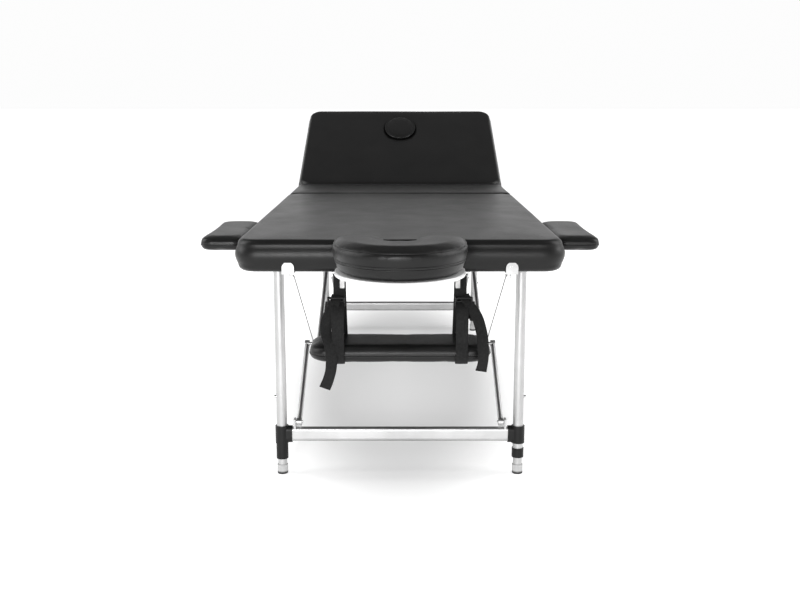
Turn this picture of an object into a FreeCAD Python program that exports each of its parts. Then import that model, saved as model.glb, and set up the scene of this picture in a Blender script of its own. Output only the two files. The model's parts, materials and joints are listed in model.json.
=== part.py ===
"""Portable folding massage table: three padded sections, two folding leg frames, face cradle,
arm shelf and two armrests. Millimetres, +Z up, +Y from the cradle towards the backrest."""
import FreeCAD, Part
import math
import os

V = FreeCAD.Vector
os.makedirs("parts", exist_ok=True)
doc = FreeCAD.newDocument("massage_table")

# Driving dimensions. Places along the table are measured from the front edge of the padded top.
SIZES = {
    "top_width": 700, "top_height": 606.5, "pad_depth": 70, "corner_radius": 45, "edge_radius": 15,
    "cover_skin": 2, "board_thick": 10, "front_length": 970, "seam_gap": 4, "mid_length": 303,
    "back_length": 570, "back_gap": 6, "back_angle": 25, "hole_width": 113, "hole_length": 176,
    "hole_inset": 157, "origin_along": 794.44, "leg_spacing": 575, "leg_outer_radius": 12.5,
    "leg_inner_radius": 11, "leg_wall": 1.2, "leg_splay": 2.9, "height_step": 33.333,
    "front_pivot": 234,
    "rear_pivot": 1603.5, "pivot_drop": 17, "bar_height": 98, "bar_tall": 36, "bar_deep": 18,
    "tee_radius": 16, "tee_tall": 43, "strut_radius": 6.5, "upper_strut_x": 215,
    "lower_strut_x": 245, "knuckle_along": 446, "knuckle_height": 263, "strut_foot_height": 128,
    "front_strut_end": 936, "rear_strut_end": 1004, "strut_end_drop": 36, "cable_radius": 1.25,
    "cable_x": 227.5, "link_half": 44, "link_x": 300, "post_radius": 4.5, "post_height": 555.5,
    "cradle_post_x": 100, "cushion_width": 270, "cushion_tall": 64,
    "cushion_front": -246, "cushion_floor": 563.5, "cushion_gap": 84, "shelf_height": 350,
    "shelf_thick": 35, "shelf_width": 400, "shelf_depth": 140, "shelf_front": -50,
    "strap_wide": 25, "strap_thick": 2, "strap_x": 130, "rail_x": 325, "bracket_wide": 26,
    "rail_tall": 12.5, "hinge_drop": 8, "prop_pivot": 150, "prop_length": 108.2, "prop_angle": 60,
    "prop_drop": 9, "prop_x": 185, "arm_gap": 5, "arm_width": 110, "arm_length": 310,
    "arm_front": 170, "arm_thick": 32, "arm_top": 586,
}
sheet = doc.addObject("Spreadsheet::Sheet", "sizes")
for row, (alias, value) in enumerate(SIZES.items(), start=1):
    sheet.set("A%d" % row, alias)
    sheet.set("B%d" % row, str(value))
    sheet.setAlias("B%d" % row, alias)
doc.recompute()
S = type("Sizes", (), SIZES)

UNDER = S.top_height - S.pad_depth
PIVOT_Z = UNDER - S.pivot_drop
LEG_X = S.leg_spacing / 2
MID_START = S.front_length + S.seam_gap
BACK_HINGE = MID_START + S.mid_length + S.back_gap / 2
SEAM = S.front_length + S.seam_gap / 2
SIDES = (("left", -1), ("right", 1))
nodes = {}


def place(x, y, z):
    """A point in the part's frame from a place along the table."""
    return V(x, y - S.origin_along, z)


def bind(obj, prop, value):
    """Sets a size, from the sheet where it is given as words."""
    if isinstance(value, str):
        words = value.split(" ")
        text = " ".join("sizes." + w if w in SIZES else w for w in words)
        obj.setExpression(prop, text)
    else:
        setattr(obj, prop, value)


def box(name, length, width, height, corner):
    obj = doc.addObject("Part::Box", name)
    bind(obj, "Length", length)
    bind(obj, "Width", width)
    bind(obj, "Height", height)
    obj.Placement.Base = corner
    return obj


def rod(name, radius, start, end):
    """A round bar from start to end."""
    obj = doc.addObject("Part::Cylinder", name)
    bind(obj, "Radius", radius)
    obj.Height = (end - start).Length
    obj.Placement = FreeCAD.Placement(start, FreeCAD.Rotation(V(0, 0, 1), end - start))
    return obj


def cut(name, base, tool):
    obj = doc.addObject("Part::Cut", name)
    obj.Base = base
    obj.Tool = tool
    return obj


def fuse(name, shapes):
    obj = doc.addObject("Part::MultiFuse", name)
    obj.Shapes = shapes
    return obj


def group(name, shapes):
    """Separate solids that share a node."""
    obj = doc.addObject("Part::Compound", name)
    obj.Links = shapes
    return obj


def node(name, obj):
    obj.Label = name
    nodes[name] = obj
    return obj


def fillet(name, base, radius, wanted):
    """Rounds the base's edges that wanted(edge) picks."""
    doc.recompute()
    obj = doc.addObject("Part::Fillet", name)
    obj.Base = base
    picked = [i for i, e in enumerate(base.Shape.Edges, start=1) if wanted(e)]
    obj.Edges = [(i, radius, radius) for i in picked]
    return obj


def is_upright(edge):
    d = edge.Vertexes[-1].Point - edge.Vertexes[0].Point
    return abs(d.z) > 0.99 * edge.Length and edge.Length > 1


def slab(name, length, width, height, corner, plan_radius, edge_radius):
    """A board or pad with rounded plan corners and, above zero, rounded rims."""
    block = box(name + "_block", length, width, height, corner)
    shaped = fillet(name + "_plan", block, plan_radius, is_upright)
    if edge_radius > 0:
        shaped = fillet(name + "_rim", shaped, edge_radius, lambda e: not is_upright(e))
    return shaped


def section(prefix, start, length, radius):
    """A padded section: wrapped cover, foam and board. The board shows through the cover below."""
    skin = S.cover_skin
    foam_z = UNDER + skin + S.board_thick
    outer = slab(prefix + "_skin", "top_width", length, "pad_depth",
                 place(-S.top_width / 2, start, UNDER), radius, S.edge_radius)
    size = getattr(S, length)
    hollow = slab(prefix + "_hollow", "top_width - 2 * cover_skin", length + " - 2 * cover_skin",
                  "pad_depth - 2 * cover_skin", place(-S.top_width / 2 + skin, start + skin,
                                                      UNDER + skin), radius - skin, S.edge_radius - skin)
    lip = 35
    mouth = slab(prefix + "_mouth", S.top_width - 2 * lip, size - 2 * lip, 2 * skin,
                 place(-S.top_width / 2 + lip, start + lip, UNDER - skin), 20, 0)
    cover = cut(prefix + "_cover_shell", cut(prefix + "_skin_cut", outer, hollow), mouth)
    filling = slab(prefix + "_fill", "top_width - 2 * cover_skin", length + " - 2 * cover_skin",
                   "pad_depth - 2 * cover_skin", place(-S.top_width / 2 + skin, start + skin,
                                                       UNDER + skin), radius - skin, S.edge_radius - skin)
    over = box(prefix + "_over", S.top_width + 20, size + 20, S.pad_depth,
               place(-S.top_width / 2 - 10, start - 10, foam_z))
    below = box(prefix + "_below", S.top_width + 20, size + 20, S.board_thick,
                place(-S.top_width / 2 - 10, start - 10, UNDER + skin))
    foam = doc.addObject("Part::Common", prefix + "_foam_block")
    foam.Base, foam.Tool = filling, over
    board = doc.addObject("Part::Common", prefix + "_board_block")
    board.Base, board.Tool = filling, below
    return cover, foam, board


def turned(name, obj, degrees, centre):
    """The same piece turned about an axis along X."""
    copy = group(name, [obj])
    turn = FreeCAD.Rotation(V(1, 0, 0), degrees)
    copy.Placement = FreeCAD.Placement(centre - turn.multVec(centre), turn)
    return copy


# Front section
cover, foam, board = section("front", 0, "front_length", S.corner_radius)
sockets = []
for side, sign in SIDES:
    for label, along in (("fore", 240), ("aft", 400)):
        spot = place(sign * (S.top_width / 2), along, S.post_height + 12)
        sockets.append((side + "_" + label, spot, V(-sign, 0, 0), 120))
for side, sign in SIDES:
    spot = place(sign * S.cradle_post_x, 0, S.post_height)
    sockets.append((side + "_cradle", spot, V(0, 1, 0), 130))
bores = []
sleeves = {"armrest": [], "cradle": []}
for label, spot, way, depth in sockets:
    bores.append(rod("bore_" + label, 6.2, spot - way * 5, spot + way * (depth + 1)))
    outer = rod("sleeve_" + label, 6, spot + way * 0.5, spot + way * depth)
    inner = rod("sleeve_bore_" + label, "post_radius + 0.05", spot - way, spot + way * (depth - 3))
    kind = "cradle" if label.endswith("cradle") else "armrest"
    sleeves[kind].append(cut("sleeve_cut_" + label, outer, inner))
node("front_cover", cut("front_cover_bored", cover, group("cover_bores", bores)))
node("front_foam", cut("front_foam_bored", foam, group("foam_bores", bores)))
node("front_board", board)
node("armrest_sockets", group("armrest_sleeves", sleeves["armrest"]))
node("cradle_sockets", group("cradle_sleeves", sleeves["cradle"]))

# Middle strip
cover, foam, board = section("mid", MID_START, "mid_length", 20)
node("mid_cover", cover)
node("mid_foam", foam)
node("mid_board", board)

# Backrest with its oval face hole, built flat and then raised
BACK_START = MID_START + S.mid_length + S.back_gap
HOLE_AT = BACK_START + S.back_length - S.hole_inset
back_centre = place(0, BACK_HINGE, S.top_height - S.hinge_drop)
cover, foam, board = section("back", BACK_START, "back_length", S.corner_radius)


def oval(name, shrink, low, high):
    """An upright oval prism in the face hole."""
    obj = doc.addObject("Part::Ellipse", name + "_line")
    obj.MajorRadius = S.hole_length / 2 - shrink
    obj.MinorRadius = S.hole_width / 2 - shrink
    obj.Placement = FreeCAD.Placement(place(0, HOLE_AT, low), FreeCAD.Rotation(V(0, 0, 1), 90))
    prism = doc.addObject("Part::Extrusion", name)
    prism.Base = obj
    prism.Dir = V(0, 0, 1)
    prism.LengthFwd = high - low
    prism.Solid = True
    return prism


skin = S.cover_skin
lining = cut("hole_lining", oval("hole_outer", -skin, UNDER, S.top_height - 0.2),
             oval("hole_inner", 0, UNDER - 1, S.top_height + 1))
hole_cut = oval("hole_cut", -skin, UNDER - 5, S.top_height + 5)
back_cover = fuse("back_cover_lined", [cut("back_cover_cut", cover, hole_cut), lining])
back_foam = cut("back_foam_cut", foam, oval("foam_hole", -skin - 0.1, UNDER - 5, S.top_height + 5))
back_board = cut("back_board_cut", board, oval("board_hole", -skin - 0.1, UNDER - 5, S.top_height + 5))
plug = fillet("plug_round", oval("plug", 1.2, UNDER + 6, S.top_height + 1.5), 4, lambda e: e.Length > 100)
for name, obj in (("back_cover", back_cover), ("back_foam", back_foam), ("back_board", back_board),
                  ("face_hole_plug", plug)):
    node(name, turned(name + "_raised", obj, S.back_angle, back_centre))


# Leg frames: mirrored end for end. toward is +1 where the frame splays to lower Y.
def leg_point(pivot, toward, along_leg, out=0):
    """A point down the splayed leg from its pivot, in (along, height)."""
    a = math.radians(S.leg_splay)
    return (pivot - toward * (along_leg * math.sin(a) - out * math.cos(a)),
            PIVOT_Z - along_leg * math.cos(a) - out * math.sin(a))


def at(x, point):
    return place(x, point[0], point[1])


LEG_REACH = PIVOT_Z / math.cos(math.radians(S.leg_splay))
OUTER_END = LEG_REACH - 62
BUTTON_REACH = OUTER_END - 130
BAR_REACH = (PIVOT_Z - S.bar_height) / math.cos(math.radians(S.leg_splay))
STRUT_REACH = (PIVOT_Z - S.strut_foot_height) / math.cos(math.radians(S.leg_splay))


def leg_frame(end, pivot, toward):
    outers, joints, eyes = [], [], []
    for side, sign in SIDES:
        x = sign * LEG_X
        tag = end + "_" + side
        top = at(x, leg_point(pivot, toward, -6.5))
        low = at(x, leg_point(pivot, toward, OUTER_END))
        tube = cut(tag + "_outer_tube", rod(tag + "_outer_bar", "leg_outer_radius", top, low),
                   rod(tag + "_outer_bore", "leg_outer_radius - leg_wall",
                       at(x, leg_point(pivot, toward, 20)), at(x, leg_point(pivot, toward, OUTER_END + 5))))
        pin_hole = rod(tag + "_pivot_hole", 4.05, at(x - 30, (pivot, PIVOT_Z)),
                       at(x + 30, (pivot, PIVOT_Z)))
        holes = [pin_hole]
        height_holes = []
        for step in range(5):
            centre = at(x, leg_point(pivot, toward, BUTTON_REACH + step * S.height_step))
            height_holes.append(rod("%s_height_hole%d" % (tag, step), 3.6, centre,
                                    centre + V(sign * 20, 0, 0)))
        holes += height_holes
        outers.append(cut(tag + "_outer_leg", tube, group(tag + "_holes", holes)))
        # T joint: a sleeve on the leg with a socket that takes the end of the crossbar
        half = S.tee_tall / 2
        sleeve = rod(tag + "_tee_sleeve", "tee_radius", at(x, leg_point(pivot, toward, BAR_REACH - half)),
                     at(x, leg_point(pivot, toward, BAR_REACH + half)))
        tee = cut(tag + "_tee", fuse(tag + "_tee_body", [sleeve, bar(tag + "_tee_socket", pivot, toward,
                                                                  sign * 262, sign * (LEG_X - 6), 3)]),
                  group(tag + "_tee_bores", [
                      rod(tag + "_tee_bore", "leg_outer_radius + 0.1",
                          at(x, leg_point(pivot, toward, BAR_REACH - half - 1)),
                          at(x, leg_point(pivot, toward, BAR_REACH + half + 1))),
                      bar(tag + "_tee_mouth", pivot, toward, sign * 255, sign * 272, 0.15)] + height_holes))
        collar_top, collar_tall = (half + 0.3, 39) if sign < 0 else (half + 13, 23)
        reach = BAR_REACH + collar_top
        collar_bore = "leg_outer_radius + 0.1"
        if reach + collar_tall > OUTER_END:
            collar_bore = "leg_inner_radius + 0.35"
        collar = cut(tag + "_collar", rod(tag + "_collar_body", 14.5,
                                          at(x, leg_point(pivot, toward, reach)),
                                        at(x, leg_point(pivot, toward, reach + collar_tall))),
                     group(tag + "_collar_bores", [
                         rod(tag + "_collar_low_bore", "leg_inner_radius + 0.35",
                             at(x, leg_point(pivot, toward, OUTER_END - 5)),
                             at(x, leg_point(pivot, toward, OUTER_END + 60))),
                         rod(tag + "_collar_high_bore", "leg_outer_radius + 0.1",
                             at(x, leg_point(pivot, toward, reach - 1)),
                             at(x, leg_point(pivot, toward, OUTER_END + 0.3)))] + height_holes))
        joints += [tee, collar]
        foot = STRUT_REACH
        lug = box(tag + "_lug", 5, S.bar_deep, S.strut_foot_height - S.bar_height - 4,
                  place(sign * (S.lower_strut_x + 10.5) - 2.5,
                        leg_point(pivot, toward, foot)[0] - S.bar_deep / 2,
                        S.bar_height + 12))
        pin = rod(tag + "_lug_pin", 3.5, at(sign * (S.lower_strut_x + 9), leg_point(pivot, toward, foot)),
                  at(sign * (S.lower_strut_x - 9), leg_point(pivot, toward, foot)))
        eyes.append(fuse(tag + "_eye", [lug, pin]))
    node(end + "_outer_legs", group(end + "_outer_pair", outers))
    node(end + "_leg_joints", group(end + "_joint_set", joints))
    beam = cut(end + "_bar_shell", bar(end + "_bar_outer", pivot, toward, -268, 268, 0),
               bar(end + "_bar_inner", pivot, toward, -275, 275, -1.6))
    node(end + "_crossbar", fuse(end + "_bar_with_eyes", [beam] + eyes))


def bar(name, pivot, toward, x0, x1, grow):
    """An oval tube section standing along the leg, from x0 to x1."""
    lift = S.bar_tall / 2 - S.bar_deep / 2
    ends = [leg_point(pivot, toward, BAR_REACH - lift), leg_point(pivot, toward, BAR_REACH + lift)]
    low, high = min(x0, x1), max(x0, x1)
    radius = S.bar_deep / 2 + grow
    rods = [rod(name + "_r%d" % i, radius, at(low, e), at(high, e)) for i, e in enumerate(ends)]
    web = box(name + "_web", high - low, 2 * radius, 2 * lift, V())
    turn = FreeCAD.Rotation(V(1, 0, 0), -toward * S.leg_splay)
    base = at(low, ends[1]) - turn.multVec(V(0, radius, 0))
    web.Placement = FreeCAD.Placement(base, turn)
    return fuse(name, rods + [web])


def inner_leg(end, side, sign, pivot, toward):
    x = sign * LEG_X
    tag = end + "_" + side
    top = OUTER_END - 290
    tube = cut(tag + "_inner_tube", rod(tag + "_inner_bar", "leg_inner_radius",
                                      at(x, leg_point(pivot, toward, top)),
                                      at(x, leg_point(pivot, toward, LEG_REACH - 6))),
               rod(tag + "_inner_bore", "leg_inner_radius - leg_wall",
                   at(x, leg_point(pivot, toward, top - 5)), at(x, leg_point(pivot, toward, LEG_REACH))))
    button_at = at(x, leg_point(pivot, toward, BUTTON_REACH))
    hole = rod(tag + "_inner_hole", 3.6, button_at, button_at + V(sign * 20, 0, 0))
    node(tag + "_inner_leg", cut(tag + "_inner_cut", tube, hole))
    # The rubber foot stands flat on the floor and sleeves the tube
    foot_top = leg_point(pivot, toward, LEG_REACH - 22)
    base = leg_point(pivot, toward, LEG_REACH + 4)
    boot = cut(tag + "_boot", rod(tag + "_boot_body", 13, at(x, base), at(x, foot_top)),
               group(tag + "_boot_cuts", [
                   rod(tag + "_boot_bore", "leg_inner_radius + 0.05",
                       at(x, leg_point(pivot, toward, LEG_REACH - 6)),
                       at(x, leg_point(pivot, toward, LEG_REACH - 40))),
                   box(tag + "_boot_floor", 60, 60, 30, place(x - 30, base[0] - 30, -30))]))
    node(tag + "_foot", boot)
    # The snap button sits in the inner tube and reaches through both walls
    stem = rod(tag + "_stem", 3.5, button_at + V(sign * 7, 0, 0), button_at + V(sign * 17, 0, 0))
    head = rod(tag + "_flange", 5, button_at + V(sign * 2, 0, 0), button_at + V(sign * 5.5, 0, 0))
    neck = rod(tag + "_neck", 3.5, button_at + V(sign * 5, 0, 0), button_at + V(sign * 8, 0, 0))
    node(tag + "_snap_button", fuse(tag + "_button", [stem, head, neck]))


def struts(end, pivot, toward, strut_end):
    """Lower strut from the crossbar to the knuckle, upper strut from there to the centre bracket."""
    def mirrored(along):
        return pivot + toward * (along - S.front_pivot)
    knuckle = (mirrored(S.knuckle_along), S.knuckle_height)
    foot = leg_point(pivot, toward, STRUT_REACH)
    top = (strut_end, UNDER - S.strut_end_drop)
    lowers, uppers, cables = [], [], []
    for side, sign in SIDES:
        tag = end + "_" + side
        x = sign * S.lower_strut_x
        eyes = [rod(tag + "_low_eye%d" % i, 9, at(x - 6, p), at(x + 6, p))
                for i, p in enumerate((foot, knuckle))]
        stub = rod(tag + "_stub", 4, at(x, knuckle), at(sign * 230, knuckle))
        lower = fuse(tag + "_lower", eyes + [stub,
                                             rod(tag + "_low_bar", "strut_radius", at(x, foot),
                                                 at(x, knuckle))])
        hole = rod(tag + "_low_hole", 3.55, at(x - 20, foot), at(x + 20, foot))
        lowers.append(cut(tag + "_lower_strut", lower, hole))
        x = sign * S.upper_strut_x
        eyes = [rod(tag + "_up_eye%d" % i, 8.5, at(x - 5, p), at(x + 5, p))
                for i, p in enumerate((top, knuckle))]
        upper = fuse(tag + "_upper", eyes + [rod(tag + "_up_bar", 6, at(x, top), at(x, knuckle))])
        hole = rod(tag + "_up_hole", 3.55, at(x - 20, top), at(x + 20, top))
        uppers.append(cut(tag + "_upper_strut", upper, hole))
        x = sign * S.cable_x
        anchor = (mirrored(20), UNDER - 7)
        ring = cut(tag + "_cable_ring", rod(tag + "_ring_disc", 6.4, at(x - 1.2, knuckle),
                                            at(x + 1.2, knuckle)),
                   rod(tag + "_ring_hole", 4.6, at(x - 5, knuckle), at(x + 5, knuckle)))
        wire_way = at(x, knuckle) - at(x, anchor)
        wire_way.normalize()
        wire = rod(tag + "_cable_wire", "cable_radius", at(x, anchor) + wire_way * 3.6,
                   at(x, knuckle) - wire_way * 6)
        ferrule = rod(tag + "_ferrule", 2.4, at(x, knuckle) - wire_way * 24, at(x, knuckle) - wire_way * 8)
        eye = cut(tag + "_cable_eye", rod(tag + "_cable_eye_body", 4.4, at(x - 1.3, anchor),
                                          at(x + 1.3, anchor)),
                  rod(tag + "_cable_eye_hole", 2.05, at(x - 5, anchor), at(x + 5, anchor)))
        cables.append(fuse(tag + "_cable", [ring, wire, ferrule, eye]))
    node(end + "_lower_struts", group(end + "_lower_pair", lowers))
    node(end + "_upper_struts", group(end + "_upper_pair", uppers))
    node(end + "_stay_cables", group(end + "_cable_pair", cables))


def under_fittings(end, pivot, toward, strut_end):
    """Leg clevises and strut brackets, screwed under a half."""
    clevises, brackets = [], []
    for side, sign in SIDES:
        tag = end + "_" + side
        x = sign * LEG_X
        reach = 22 if toward > 0 else S.rail_x + 10 - LEG_X
        low_x = x - 22 if sign > 0 else x - reach
        plate = box(tag + "_clevis_plate", 22 + reach, 60, 2.5, place(low_x, pivot - 30, UNDER - 2.5))
        ears = [box(tag + "_ear%d" % i, 2.5, 24, S.pivot_drop + 9, place(x + dx, pivot - 12, PIVOT_Z - 9))
                for i, dx in enumerate((-16, 13.5))]
        pin = rod(tag + "_leg_pin", 4, at(x - 18, (pivot, PIVOT_Z)), at(x + 18, (pivot, PIVOT_Z)))
        clevises.append(fuse(tag + "_clevis", [plate, pin] + ears))
        x = sign * S.upper_strut_x
        drop = S.strut_end_drop
        base = box(tag + "_strut_plate", 34, 40, 2.5, place(x - 17, strut_end - 20, UNDER - 2.5))
        cheek = [box(tag + "_cheek%d" % i, 2.5, 20, drop + 7,
                     place(x + dx, strut_end - 10, UNDER - drop - 7))
                 for i, dx in enumerate((-9, 6.5))]
        bolt = rod(tag + "_strut_bolt", 3.5, at(x - 11, (strut_end, UNDER - drop)),
                   at(x + 11, (strut_end, UNDER - drop)))
        brackets.append(fuse(tag + "_strut_bracket", [base, bolt] + cheek))
    return clevises, brackets


for end, pivot, toward, strut_end in (("front", S.front_pivot, 1, S.front_strut_end),
                                      ("rear", S.rear_pivot, -1, S.rear_strut_end)):
    leg_frame(end, pivot, toward)
    for side, sign in SIDES:
        inner_leg(end, side, sign, pivot, toward)
    struts(end, pivot, toward, strut_end)
    clevises, brackets = under_fittings(end, pivot, toward, strut_end)
    node(end + "_leg_clevises", group(end + "_clevis_pair", clevises))
    node(end + "_strut_brackets", group(end + "_bracket_pair", brackets))

STRAP_BAR = (26, UNDER - 9)

# Chrome corner brackets on the front edge, each with its screws and the cable's anchor pin
corners, corner_screws = [], []
for side, sign in SIDES:
    x = sign * 237
    face = box(side + "_corner_face", "bracket_wide", 2, 13, place(x - S.bracket_wide / 2, -2.2, UNDER - 2))
    dome = rod(side + "_corner_dome", "bracket_wide / 2", at(x, (-2.2, UNDER + 11)),
               at(x, (-0.2, UNDER + 11)))
    sole = box(side + "_corner_sole", "bracket_wide", 40, 2,
               place(x - S.bracket_wide / 2, -2.2, UNDER - 2.2))
    ear = box(side + "_corner_ear", 2.5, 14, 16, place(sign * 237 - 1.25, 13, UNDER - 16))
    pin = rod(side + "_anchor_pin", 2, at(sign * 237, (20, UNDER - 7)),
              at(sign * (S.cable_x - 3), (20, UNDER - 7)))
    corners.append(fuse(side + "_corner", [face, dome, sole, ear, pin]))
    corner_screws.append(rod(side + "_corner_screw", 4, at(x, (-4, UNDER + 11)), at(x, (-2.3, UNDER + 11))))
strap_staples = []
for side, sign in SIDES:
    x = sign * S.strap_x
    staple = [rod(side + "_strap_bar", 2.5, at(x - 18, STRAP_BAR), at(x + 18, STRAP_BAR)),
              box(side + "_staple_plate", 40, 22, 1.5, place(x - 20, STRAP_BAR[0] - 11, UNDER - 1.6))]
    for edge, dx in (("inner", -18), ("outer", 15.5)):
        staple.append(box("%s_staple_%s" % (side, edge), 2.5, 9, 13,
                          place(x + dx, STRAP_BAR[0] - 4.5, UNDER - 13.5)))
    strap_staples.append(fuse(side + "_strap_staple", staple))
node("end_brackets", group("corner_set", corners + corner_screws + strap_staples))

# Rear frame: rails that carry the rear legs under the raised backrest
rails = []
rail_low = UNDER - 2.6 - S.rail_tall
rail_end = 1846
for side, sign in SIDES:
    x = sign * S.rail_x
    rails.append(box(side + "_rail", 20, rail_end - MID_START - 40, "rail_tall",
                     place(x - 10, MID_START + 40, rail_low)))
    rails.append(box(side + "_rail_packer", 20, 240, 3, place(x - 10, MID_START + 40, UNDER - 3.1)))
    x = sign * 195
    rails.append(box(side + "_prop_rail", 10, 400, 4.8, place(x - 5, 1050, UNDER - 7.4)))
    prop_at = (BACK_HINGE + S.prop_pivot, UNDER - S.prop_drop)
    rails.append(box(side + "_prop_ear", 3, 14, 11, place(x - 1.5, prop_at[0] - 7, UNDER - 14)))
    rails.append(rod(side + "_prop_pin", 2.5, at(x, prop_at), at(sign * (S.prop_x - 5), prop_at)))
    anchor = (S.rear_pivot - (20 - S.front_pivot), UNDER - 7)
    rails.append(box(side + "_anchor_ear", 2.5, 22, 12,
                     place(sign * 237 - 1.25, anchor[0] - 7, UNDER - 14)))
    rails.append(rod(side + "_rear_anchor", 2, at(sign * 237, anchor), at(sign * (S.cable_x - 3), anchor)))
for label, along in (("fore", 1044), ("aft", rail_end - 20)):
    rails.append(box(label + "_cross_rail", "2 * rail_x", 20, "rail_tall",
                     place(-S.rail_x, along, rail_low)))
node("rear_frame", fuse("rear_rails", rails))

# Backrest prop: a U frame that folds down backwards as the backrest is lowered
tilt = math.radians(S.prop_angle)
tip = (prop_at[0] + S.prop_length * math.cos(tilt), prop_at[1] + S.prop_length * math.sin(tilt))
prop_parts = [rod("prop_roller", 3, at(-S.prop_x - 4, tip), at(S.prop_x + 4, tip))]
for side, sign in SIDES:
    x = sign * S.prop_x
    prop_parts += [rod(side + "_prop_arm", 2.6, at(x, prop_at), at(x, tip)),
                   rod(side + "_prop_eye", 4.7, at(x - 3.5, prop_at), at(x + 3.5, prop_at))]
prop_holes = [rod(side + "_prop_hole", 2.55, at(sign * (S.prop_x - 9), prop_at),
                  at(sign * (S.prop_x + 9), prop_at))
              for side, sign in SIDES]
node("backrest_prop", cut("prop_frame", fuse("prop_bars", prop_parts), group("prop_holes", prop_holes)))

# Backrest hinges: upright leaves on the two facing ends, turning on a pin just under the padding's top
fixed_leaves, moving_leaves = [], []
hinge = (BACK_HINGE, S.top_height - S.hinge_drop)
leaf_thick, leaf_tall, leaf_foot = 0.9, 56, 3
for side, sign in SIDES:
    x = sign * 255
    leaf_low = hinge[1] - leaf_tall
    fixed = [rod(side + "_fixed_knuckle", 2.2, at(x - 30, hinge), at(x, hinge)),
             rod(side + "_hinge_pin", 1.3, at(x - 28, hinge), at(x + 28, hinge)),
             box(side + "_fixed_leaf", 30, leaf_thick, leaf_tall,
                 place(x - 30, BACK_HINGE - leaf_foot + 0.3, leaf_low))]
    fixed_leaves.append(fuse(side + "_fixed_hinge", fixed))
    moving = [rod(side + "_moving_knuckle", 2.2, at(x + 0.5, hinge), at(x + 30, hinge)),
              box(side + "_moving_leaf", 29.5, leaf_thick, leaf_tall,
                  place(x + 0.5, BACK_HINGE + leaf_foot - 0.3 - leaf_thick, leaf_low))]
    moving_leaves.append(cut(side + "_moving_hinge", fuse(side + "_moving_all", moving),
                             rod(side + "_hinge_bore", 1.35, at(x - 40, hinge), at(x + 40, hinge))))
node("backrest_hinge_fixed", group("fixed_hinge_pair", fixed_leaves))
node("backrest_hinge_moving", turned("moving_hinges_raised", group("moving_hinge_pair", moving_leaves),
                                     S.back_angle, back_centre))

# Centre hinge: a link on each side turns on one pin in each half
links, leaves_front, leaves_rear = [], [], []
pin_z = UNDER - 7
for side, sign in SIDES:
    x = sign * S.link_x
    ends = [(SEAM - S.link_half, pin_z), (SEAM + S.link_half, pin_z)]
    bars = [rod(side + "_link_boss%d" % i, 6, at(x - 2, e), at(x + 2, e)) for i, e in enumerate(ends)]
    bars += [rod(side + "_link_pin%d" % i, 3, at(x - 8, e), at(x + 8, e)) for i, e in enumerate(ends)]
    plate = box(side + "_link_plate", 4, 2 * S.link_half, 12, place(x - 2, SEAM - S.link_half, pin_z - 6))
    links.append(fuse(side + "_link", bars + [plate]))
    for store, e, tag in ((leaves_front, ends[0], "front"), (leaves_rear, ends[1], "rear")):
        shift = -26 if tag == "front" else -4
        ears = []
        for i, dx in enumerate((-7.5, 4.5)):
            ear = box("%s_%s_leaf_ear%d" % (side, tag, i), 3, 30, 14,
                      place(x + dx, e[0] + shift, pin_z - 7.5))
            ears.append(ear)
        roof = box("%s_%s_leaf_roof" % (side, tag), 28, 30, 0.6, place(x - 14, e[0] + shift, UNDER - 0.6))
        hole = rod("%s_%s_leaf_hole" % (side, tag), 3.05, at(x - 20, e), at(x + 20, e))
        store.append(cut("%s_%s_leaf" % (side, tag), fuse("%s_%s_leaf_all" % (side, tag), ears + [roof]),
                         hole))
node("centre_links", group("link_pair", links))
node("front_hinge_leaves", group("front_leaf_pair", leaves_front))
node("rear_hinge_leaves", group("rear_leaf_pair", leaves_rear))

# Face cradle: two posts, a cross tube, a tilting platform with cam levers, and a horseshoe cushion
frame_parts = []
cross_y = -40
for side, sign in SIDES:
    x = sign * S.cradle_post_x
    frame_parts.append(rod(side + "_post", "post_radius", place(x, cross_y, S.post_height),
                           place(x, 110, S.post_height)))
frame_parts.append(rod("cradle_cross", 6, place(-112, cross_y, S.post_height),
                       place(112, cross_y, S.post_height)))
node("cradle_frame", fuse("cradle_bars", frame_parts))

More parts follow.
